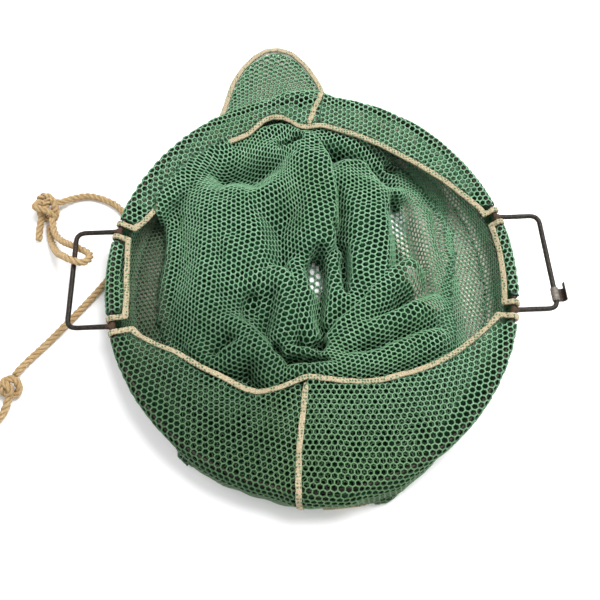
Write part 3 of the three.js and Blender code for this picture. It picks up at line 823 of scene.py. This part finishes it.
# Each fold: how far its flanks run on the left and the right of the way its crest goes, how far the crest
# leans over to the left, half the width of its top, and the crest as points (x, y, height), in mm.
folds = [
    (22, 44, 3, 4, (-124, 128, 26), (-114, 113, 34), (-109, 75, 41), (-108, 21, 42),
     (-107, -28, 38), (-104, -63, 28)),
    (30, 26, 0, 17, (-82, 84, 38), (-74, 50, 40), (-71, 21, 38), (-76, -10, 33), (-84, -34, 27)),
    (32, 40, 0, 2, (-104, 92, 30), (-92, 78, 35), (-58, 88, 40), (-26, 108, 41), (-6, 140, 39)),
    (40, 20, -2, 4, (-150, 108, 27), (-136, 124, 33), (-112, 140, 36), (-80, 150, 37),
     (-46, 158, 37), (-30, 160, 35)),
    (30, 12, 0, 6, (-66, 172, 33), (-44, 184, 34), (-14, 184, 34), (2, 172, 34)),
    (13, 34, 6, 11, (-1, 160, 38), (10, 124, 45), (12, 77, 47), (7, 38, 45)),
    (17, 21, 3, 16, (50, 118, 36), (60, 92, 41), (62, 60, 43), (62, 28, 42), (57, 0, 38),
     (47, -26, 30)),
    (27, 18, 0, 2, (28, 112, 36), (52, 112, 40), (72, 98, 39), (84, 80, 36)),
    (8, 9, 0, 2, (23, 42, 20), (24, 23, 27), (24, -19, 28), (18, -50, 23)),
    (14, 11, -4, 7, (104, -2, 36), (80, -18, 39), (58, -42, 38), (34, -64, 35), (17, -84, 27)),
    (15, 10, -4, 5, (130, -34, 32), (104, -50, 38), (76, -62, 39), (44, -72, 38), (18, -86, 31)),
    (20, 12, -3, 5, (126, -74, 27), (92, -86, 33), (62, -98, 36), (30, -101, 36), (10, -100, 31)),
    (24, 9, 2, 1, (119, 126, 24), (120, 92, 27), (127, 52, 27), (132, 8, 28), (138, -22, 26),
     (137, -60, 20)),
    (16, 8, -4, 1, (80, 92, 35), (102, 97, 33), (121, 99, 28)),
    (13, 18, 2, 5, (-50, -9, 30), (-40, -1, 36), (-29, -10, 38), (-25, -28, 38), (-27, -52, 36),
     (-34, -73, 29)),
    (14, 12, 2, 3, (-60, -6, 28), (-72, -20, 31), (-78, -38, 28)),
    (12, 9, 0, 3, (-17, 12, 29), (-9, -19, 31), (-11, -48, 30), (-5, -68, 24)),
    (12, 12, 3, 5, (-100, -34, 27), (-88, -51, 33), (-67, -68, 36), (-54, -86, 36), (-50, -102, 30)),
    (11, 14, 3, 6, (-86, -88, 29), (-66, -80, 36), (-46, -92, 36), (-42, -110, 30)),
    (10, 10, 2, 3, (-126, -62, 22), (-119, -80, 28), (-104, -92, 28), (-90, -94, 22)),
    (8, 12, 2, 3, (-38, -106, 30), (-12, -105, 35), (12, -106, 34), (40, -110, 30)),
    (5, 6, 2, 2, (-34, -80, 27), (-10, -86, 32), (14, -92, 31)),
    (14, 16, -3, 0, (-150, 88, 18), (-146, 40, 19), (-152, 0, 15), (-160, -30, 10)),
    (46, 40, 0, 0, (-150, -100, 20), (-90, -140, 22), (-20, -158, 20), (60, -150, 20), (130, -112, 19)),
    (40, 15, -2, 5, (20, 176, 32), (50, 166, 33), (84, 146, 32), (112, 120, 27)),
    (40, 24, 0, 4, (-100, 180, 29), (-40, 194, 31), (14, 192, 31), (64, 172, 31), (106, 148, 28),
     (132, 118, 22)),
]
HEAP_FOOT = 5  # height of the netting at the foot of the folds, mm

# Where the folds part: the middle of each gap, its half width and half length, how it is turned, and how
# low the netting lies in it. In millimetres and degrees.
partings = [
    (5, 6, 10, 22, 3, 2.2),
    (102, 60, 8, 34, 13, 2.2),
    (146, 62, 6, 34, -3, 3.0),
    (99, 137, 9, 8, 0, 9.0),
    (6, -77, 9, 8, 0, 4.0),
    (28, 42, 3.5, 15, 30, 12.0),
    (35, 6, 3.5, 26, -3, 12.0),
    (-11, -93, 23, 3.5, -7, 9.0),
    (-18, 165, 13, 4, 12, 12.0),
    (-65, -32, 9, 15, -20, 19.0),
    (-40, -80, 5, 9, 20, 14.0),
]


def smooth_crest(points):
    """The crest of a fold as a smooth line."""
    return [tuple(point) for point in smooth_route(points, 6)]


def turned_off(x, y, mid_x, mid_y, turn):
    """How far a place is from a middle, across and along a line that is turned by these degrees."""
    c, s = math.cos(math.radians(turn)), math.sin(math.radians(turn))
    return (x - mid_x) * c + (y - mid_y) * s, (y - mid_y) * c - (x - mid_x) * s


def fold_heights(x, y):
    """The height of the folds over points on the floor and how they lean there, all in millimetres."""
    total = np.zeros_like(x)
    lean_x, lean_y = np.zeros_like(x), np.zeros_like(x)
    weight_sum = np.full_like(x, 1e-9)
    for left, right, lean, top, *crest in folds:
        crest = np.array(smooth_crest(crest))
        nearest = np.full_like(x, 1e9)
        height = np.zeros_like(x)
        signed = np.zeros_like(x)
        normal_x, normal_y = np.zeros_like(x), np.zeros_like(x)
        for (ax, ay, az), (bx, by, bz) in zip(crest, crest[1:]):
            dx, dy = bx - ax, by - ay
            length = math.hypot(dx, dy)
            share = np.clip(((x - ax) * dx + (y - ay) * dy) / length**2, 0, 1)
            off_x, off_y = x - ax - share * dx, y - ay - share * dy
            away = np.hypot(off_x, off_y)
            closer = away < nearest
            nearest = np.where(closer, away, nearest)
            height = np.where(closer, az + share * (bz - az), height)
            signed = np.where(closer, dx * off_y - dy * off_x, signed)
            normal_x = np.where(closer, -dy / length, normal_x)
            normal_y = np.where(closer, dx / length, normal_y)
        flank = np.where(signed > 0, left, right)
        beyond = np.maximum(nearest - top, 0) + 0.12 * np.minimum(nearest, top)
        rounded = (np.sqrt(beyond**2 + 9.0) - 3.0) / flank
        profile = np.clip(1 - rounded, 0, 1)
        profile = profile * profile * (3 - 2 * profile) * 0.55 + 0.45 * profile
        risen = (height - HEAP_FOOT) * profile
        total += risen**7
        weight = (risen / 30) ** 6
        weight_sum += weight
        lean_x += weight * normal_x * lean * profile
        lean_y += weight * normal_y * lean * profile
    height = HEAP_FOOT + total ** (1 / 7)
    return height, lean_x / weight_sum, lean_y / weight_sum


def creasing(x, y):
    """Small creases of the netting over points on the floor, in millimetres."""
    out = np.zeros_like(x)
    for i, (px, py) in enumerate(zip(x, y)):
        place = Vector((px / 34, py / 34, 0.7))
        warp = noise.noise_vector(place) * 0.9
        ridge = 1 - abs(noise.noise(place * 1.25 + warp)) * 2.4
        fine = 1 - abs(noise.noise(place * 2.9 + warp * 1.5)) * 2.2
        out[i] = 2.6 * ridge + 1.1 * fine
    return out


# How far out on the right the netting deeper in the heap reaches, by degrees from 60 short of the handle.
deeper_reach = ((0, 30, 46, 56, 66, 92, 100, 115, 140), (160, 136, 128, 118, 96, 96, 112, 160, 400))


def heap_surface(spacing, sunk=0.0, inset=0.0):
    """The netting over the heap as a surface; or, sunk and inset, the netting deeper in under it."""
    bm = bmesh.new()
    steps = round(0.42 / spacing)
    bmesh.ops.create_grid(bm, x_segments=steps, y_segments=steps, size=0.21)
    x = np.array([v.co.x for v in bm.verts]) * 1000
    y = np.array([v.co.y for v in bm.verts]) * 1000
    around = np.degrees(np.arctan2(y, x)) % 360
    away = np.hypot(x, y)
    edge = np.interp(around, *zip(*heap_edge)) - inset
    # At the far left the heap comes up under the hem and out over the hoop.
    overhang = (around > 117) & (around < 155)
    if inset:
        side = np.interp((around + 60) % 360, *deeper_reach)
        side = side / np.maximum(0.3, np.cos(np.radians(around)))
        edge = np.where((around < 80) | (around > 300), np.minimum(edge, side), edge)
        edge = edge + np.where(overhang, 5, 0)
        sunk = np.where(overhang & (away > 170), 1.9, sunk)
    height, lean_x, lean_y = fold_heights(x, y)
    height = height + creasing(x, y) * np.clip((height - 8) / 12, 0, 1)
    for mid_x, mid_y, half_wide, half_long, turn, low in partings:
        across, along = turned_off(x, y, mid_x, mid_y, turn)
        off = np.hypot(across / half_wide, along / half_long)
        down = np.clip((off - 0.9) / 0.32, 0, 1)
        height = np.minimum(height, low + (height - low) * down * down * (3 - 2 * down))
    hem, hem_up = np.array([rim(place)[:2] for place in range(360)]).T * 1000
    under = np.clip((away - np.interp(around, range(360), hem) + 10) / 10, 0, 1)
    roof = np.interp(around, range(360), hem_up) - 4.5
    below_roof = np.where(height > roof, height * (1 - under) + roof * under, height)
    height = np.where(overhang, height, below_roof)
    lip = 1 - np.clip((away - (edge - 9)) / 9, 0, 1) ** 2
    low_side = np.interp((around + 60) % 360, (0, 20, 50, 115, 132), (0, 0, 1, 1, 0))
    slope = np.clip((away - (edge - 46)) / 46, 0, 1)
    lip = lip * (1 - low_side) + (1 - slope) ** 2 * low_side
    foot = np.where(overhang, 35.5, 3.4)
    lift = np.where(overhang, np.maximum(height, 40 - 6 * np.clip((185 - away) / 20, 0, 1)), height)
    height = np.where(overhang & (away > 172), lift, height)
    height = foot + (height - foot) * np.sqrt(np.clip(lip, 0, 1))
    rise = np.clip((height - 6) / 20, 0, 1) * np.clip(lip, 0, 1)
    x, y = x + lean_x * rise, y + lean_y * rise
    for vert, place in zip(bm.verts, zip(x, y, np.maximum(height - sunk, 2.0))):
        vert.co = Vector(place) / 1000
    bmesh.ops.delete(bm, geom=[v for v, out in zip(bm.verts[:], away > edge) if out], context="VERTS")
    return bm


# Where the netting is drawn together, so that its cells close to slits: the middle of each place, the way
# across the slits in degrees, half its width and half its length, and how much netting is drawn in.
gathers = [
    (-78, 128, 119, 15, 38, 19),
    (-20, 116, 8, 9, 48, 7),
    (66, 104, 62, 12, 30, 10),
    (-68, -44, 55, 9, 24, 6),
    (118, 50, 8, 12, 60, 6),
    (-132, 40, 185, 12, 70, 5),
    (70, -100, -80, 10, 40, 5),
]


row_start, row_end = (-0.080, -0.010), (0.020, 0.026)  # a row of the heap's cells runs between these


def draw_together(bm):
    """Closes the cells up in the places of the table, on the flat shape of the netting."""
    flat = bm.loops.layers.uv["flat"]
    row_way = math.degrees(math.atan2(row_end[1] - row_start[1], row_end[0] - row_start[0]))
    for loop in face_corners(bm):
        x, y = loop.vert.co.x * 1000, loop.vert.co.y * 1000
        for mid_x, mid_y, way, half_wide, half_long, drawn in gathers:
            across, along = turned_off(x, y, mid_x, mid_y, way)
            across, along = across / half_wide, along / half_long
            fading = math.exp(-(along**2) - (max(0, across) / 5) ** 2)
            turn = math.radians(way - row_way)
            shift = drawn / 1000 * (1 + math.tanh(across)) * fading
            loop[flat].uv += Vector((math.cos(turn), math.sin(turn))) * shift


surface, area = spread_flat(heap_surface(0.0027), row_start, row_end, method="MINIMUM_STRETCH")
draw_together(surface)
net_heap = finished("net_heap", knit(surface, seed=57.0), net_finish)

# ---------------------------------------------------------------------------
# The rest of the netting: bunched up close under the folds, lying as a second layer inside the wall and
# in the far hem, and flat on the ground. Its cells are closed up, and its colour is painted shade and
# light:
# near black deep under the heap, brown in shade and pale in light where the ground shows through.

bundle_finish = Finish("bunched netting", 0.9, shine=0.08)
here = bundle_finish.place()
speckle = bundle_finish.mottle(here, 230.0, 2.0, 0.6).between(0.38, 0.66)
patches = bundle_finish.mottle(here, 30.0, 3.0).between(0.35, 0.7)
lit_share = bundle_finish.part(bundle_finish.map("lit_share"), "X")
behind = 1 - bundle_finish.cells(here, 178.0, 0.5, "DISTANCE_TO_EDGE").between(0.06, 0.20)
# Painted shade: near black green, for the netting deep in under the heap.
deep = bundle_finish.colours(speckle * 0.5 + behind * 0.5, (0.003, 0.009, 0.004), (0.018, 0.068, 0.029))
# Painted shade: the ground in shadow, dull brown, seen through green twine.
ground_in_shade = bundle_finish.colours(speckle, (0.026, 0.026, 0.016), (0.13, 0.096, 0.066))
ground_in_shade = bundle_finish.colours(behind * 0.85, ground_in_shade, (0.05, 0.13, 0.062))
# Painted light: the ground in light, pale pink, seen through green twine.
pale = bundle_finish.colours(speckle, (0.76, 0.65, 0.56), (1.0, 0.9, 0.82))
pale = bundle_finish.colours(patches * 0.35, pale, (0.64, 0.54, 0.44))
pale = bundle_finish.colours(behind * 0.28, pale, (0.11, 0.25, 0.13))
lower = bundle_finish.colours((lit_share * 2).between(0.0, 1.0), deep, ground_in_shade)
netting = bundle_finish.colours((lit_share * 2 - 1).between(0.0, 1.0), lower, pale)
green_share = bundle_finish.part(bundle_finish.map("lit_share"), "Y")
# High on the wall and in the far hem: green twine, with the cells between painted dark as painted shade.
fresh = bundle_finish.colours(behind, (0.024, 0.06, 0.033), (0.125, 0.28, 0.16))
fresh = bundle_finish.colours(speckle.between(0.55, 0.95) * 0.4, fresh, (0.42, 0.33, 0.27))
bundle_finish.set("Base Color", bundle_finish.colours(green_share.between(0.0, 1.0), netting, fresh))


# How much painted light the netting gets, from 0 in deep painted shade to 1 pale in painted light, by
# degrees
# from the right handle: up the wall; and on the ground, inside the hoop and out under it.
wall_places = (0, 24, 60, 130, 165, 195, 215, 325, 345)
wall_light = (0.86, 0.8, 0.74, 0.66, 0.56, 0.5, 0.04, 0.06, 0.8)
light_places = (0, 24, 40, 70, 100, 140, 160, 172, 190, 204, 230, 270, 300, 325, 340, 360)
light_inside = (1.0, 1.0, 0.8, 0.3, 0.1, 0.2, 0.6, 0.68, 0.62, 0.3, 0.0, 0.0, 0.1, 0.4, 0.95, 1.0)
light_outside = (0.96, 0.92, 0.86, 0.76, 0.74, 0.58, 0.6, 0.6, 0.56, 0.3, 0.0, 0.0, 0.2, 0.5, 0.86, 0.96)


def light_share_at(x, y, up):
    """How much painted light the netting gets at a place, from 0 deep in painted shade to 1 thin and pale
    in painted light.
    """
    degrees = way_round(x, y)
    if up > 0.022 and beside_handle(degrees) > 0.5:
        return 0.12
    if up > 0.0025:
        return float(np.interp(degrees, wall_places, wall_light))
    outwards = math.hypot(x, y) / hoop_radius(degrees)
    blend = held((outwards - 0.86) / 0.05)
    inside, outside = (np.interp(degrees, light_places, lit_share) for lit_share in (light_inside, light_outside))
    deep_end = 0.45 if degrees < 45 or degrees > 345 else 0.62
    return float(inside * (1 - blend) + outside * blend) * held((outwards - deep_end) / 0.1)


def lining():
    """A second layer of netting, close inside the wall from outside the hoop's wire to the floor."""
    bm = bmesh.new()
    rows = 9
    bmesh.ops.create_grid(bm, x_segments=240, y_segments=rows, size=1)
    for vert in bm.verts:
        degrees = (vert.co.x + 1) * 180
        row = round((vert.co.y + 1) / 2 * rows)
        wall, wall_up, toe = rim(degrees)[2:]
        hoop = hoop_radius(degrees)
        tight = 0.0016 * beside_handle(degrees)
        under_ear = 0.003 * held((toe - 0.02) / 0.03)
        at_leg = 10.5 < off_handle(degrees) < 19.5
        over_wire = [] if at_leg else [(hoop + 0.0032, 0.0412), (hoop + 0.0034, 0.0390)]
        line = [
            *over_wire,
            (hoop + 0.0022, 0.0358),
            (hoop + min(wall, 0.003) + 0.0018 + tight, 0.0285),
            (hoop + wall - 0.0028 + tight - 0.3 * under_ear, wall_up + 0.0005 - under_ear),
            (hoop + wall + 0.5 * (toe - wall) - 0.0028 + tight, wall_up * 0.3 + 0.0036 - 0.6 * under_ear),
            (hoop + toe - 0.0045, 0.0022),
        ]
        vert.co = at_way(degrees, *between_points(line, [row / rows])[0])
    bmesh.ops.remove_doubles(bm, verts=bm.verts[:], dist=0.0001)
    return bm


def hem_layer():
    """The second layer of the hem on the far side, close under the first from its edge to the wire."""
    bm = bmesh.new()
    bmesh.ops.create_grid(bm, x_segments=120, y_segments=8, size=1)
    for vert in bm.verts:
        degrees = 90 + vert.co.x * 65
        share = (vert.co.y + 1) / 2
        hem, hem_up = rim(degrees)[:2]
        inner, outer = hem + 0.0040, hoop_radius(degrees) - 0.0033
        sag = 0.0012 * math.sin(math.pi * share)
        up = hem_up - 0.0028 + (0.0385 - hem_up + 0.0028) * share - sag
        vert.co = at_way(degrees, inner + (outer - inner) * share, up)
    return bm


def underlay():
    """The netting that lies flat and close on the floor under everything else."""
    bm = bmesh.new()
    bmesh.ops.create_grid(bm, x_segments=130, y_segments=170, size=0.5)
    outside = []
    for vert in bm.verts:
        x, y = vert.co.x * 0.44, vert.co.y * 0.60 + 0.045
        vert.co = (x, y, 0.0004 + 0.0008 * abs(noise.noise(Vector((x * 50, y * 50, 9)))))
        away, degrees = math.hypot(x, y), way_round(x, y)
        ragged = 0.004 * noise.noise(Vector((x * 40, y * 40, 0)))
        outer = hoop_radius(degrees) + rim(degrees)[4] - 0.002 + min(ragged, 0)
        gaps = math.hypot((x - 0.005) / 0.012, (y - 0.006) / 0.024) < 1
        gaps = gaps or (y > 0.056 and math.hypot((x - 0.100) / 0.010, (y - 0.064) / 0.034) < 1)
        if gaps or not 0.002 < away < outer + 0.0034:
            outside.append(vert)
        elif away > outer:
            vert.co.xy *= outer / away
    bmesh.ops.delete(bm, geom=outside, context="VERTS")
    return bm


# An opaque sheet sunk under the heap stands for the netting deeper in; it is coloured as deep painted
# shade.
bundle = heap_surface(0.004, sunk=7.0, inset=9.0)
on_ground = [f for f in bundle.faces if max(v.co.z for v in f.verts) < 0.0035]
bmesh.ops.delete(bundle, geom=on_ground, context="FACES")
in_heap = bundle.verts.layers.int.new("in_heap")
for vert in bundle.verts:
    vert[in_heap] = 1
for layer in (underlay(), lining(), hem_layer()):
    join(bundle, layer)
light_layer = bundle.loops.layers.uv.new("lit_share")
in_heap = bundle.verts.layers.int["in_heap"]
# Each corner gets its share of painted light, none under the heap, and, high on the wall and in the hem,
# its share of plain green twine, more on the far side.
for loop in face_corners(bundle):
    x, y, up = loop.vert.co
    green_share = 0.0 if loop.vert[in_heap] or up < 0.031 else (0.8 if y > 0.08 else 0.35)
    loop[light_layer].uv = (0 if loop.vert[in_heap] else light_share_at(x, y, up), green_share)
area = sum(face.calc_area() for face in bundle.faces)
net_bundle = finished("net_bundle", bundle, bundle_finish)

# ---------------------------------------------------------------------------
# Tapes: cream binding tape, folded over the cut edge of the netting and stitched through with green
# thread. It goes round the mouth in four lengths, over the side seams, round the ear and along the near
# flap, and lies on the strands a little crumpled.

tape_finish = Finish("bound tape", 0.82)
here = tape_finish.place()
weave = tape_finish.mottle(here, 900.0, 2.0, 0.6)
stitches = tape_finish.cells(here, 330.0, 0.4)
worn = tape_finish.mottle(here, 60.0, 3.0, 0.6)
cream = tape_finish.colours(weave.between(0.3, 0.7), (0.25, 0.2, 0.115), (0.5, 0.415, 0.275))
cream = tape_finish.colours(worn.between(0.48, 0.75) * 0.6, cream, (0.3, 0.24, 0.14))
cream = tape_finish.colours((1 - stitches.between(0.27, 0.45)) * 0.85, cream, (0.05, 0.15, 0.07))
tape_finish.set("Base Color", cream)
tape_finish.relief(weave * 0.5 + stitches.between(0.1, 0.4), 0.0010, 0.9)

for node in (
    "mouth_tape_right",
    "mouth_tape_far",
    "mouth_tape_left",
    "mouth_tape_near",
    "seam_tape_near",
    "seam_tape_far",
    "ear_tape",
    "flap_tape",
):
    bm = cad_copy(node)
    long_edges = [e for e in bm.edges if e.calc_length() > 0.0032]
    bmesh.ops.subdivide_edges(bm, edges=long_edges, cuts=2, use_grid_fill=True)
    bm.normal_update()
    lift = {"seam_tape_near": 0.0022, "seam_tape_far": 0.0036}.get(node, 0.0006)
    for vert in bm.verts:
        crumple = noise.noise(vert.co * 160) * 0.0005 + noise.noise(vert.co * 60) * 0.0006
        vert.co += vert.normal * (0.0003 + abs(crumple)) + Vector((0, 0, lift))
        if node == "seam_tape_near":
            beyond_hoop = held((-vert.co.y - 0.190) / 0.016)
            from_sleeve = Vector((0, vert.co.y + 0.212, max(0, vert.co.z - 0.026))).normalized()
            vert.co += from_sleeve * 0.0046 * beyond_hoop
        if node == "flap_tape":
            inner = -0.231 + 0.065 * vert.co.x
            vert.co.y = inner + 0.0012 + (vert.co.y - inner) * 0.5
    tape = finished(node + "_cloth", bm, tape_finish)
    rounded_off(tape)
    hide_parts(node)

# ---------------------------------------------------------------------------
# The floor and the light: a pale studio floor under broad soft lamps.

floor_finish = Finish("studio floor", 0.9)
floor_finish.set("Base Color", (0.93, 0.93, 0.93, 1))
bm = bmesh.new()
bmesh.ops.create_grid(bm, x_segments=1, y_segments=1, size=6)
studio_floor = in_scene("studio_floor", as_mesh("studio_floor", bm))
studio_floor.data.materials.append(floor_finish.material)

for name, place, size, power in (
    ("overhead", (0.55, 0.45, 1.5), 0.9, 34),
    ("side", (-1.4, 0.6, 1.3), 1.2, 9),
    ("front", (0.6, -1.6, 1.1), 1.2, 7),
):
    lamp = bpy.data.lights.new(name, "AREA")
    lamp.shape = "DISK"
    lamp.size = size
    lamp.energy = power
    holder = in_scene(name, lamp)
    holder.location = place
    holder.rotation_euler = (Vector((0, 0, 0)) - Vector(place)).to_track_quat("-Z", "Y").to_euler()

room = bpy.data.worlds.new("room")
room.use_nodes = True
room.node_tree.nodes["Background"].inputs["Color"].default_value = (1.0, 1.0, 1.0, 1)
room.node_tree.nodes["Background"].inputs["Strength"].default_value = 0.7
bpy.context.scene.world = room
bpy.context.scene.view_settings.view_transform = "Standard"
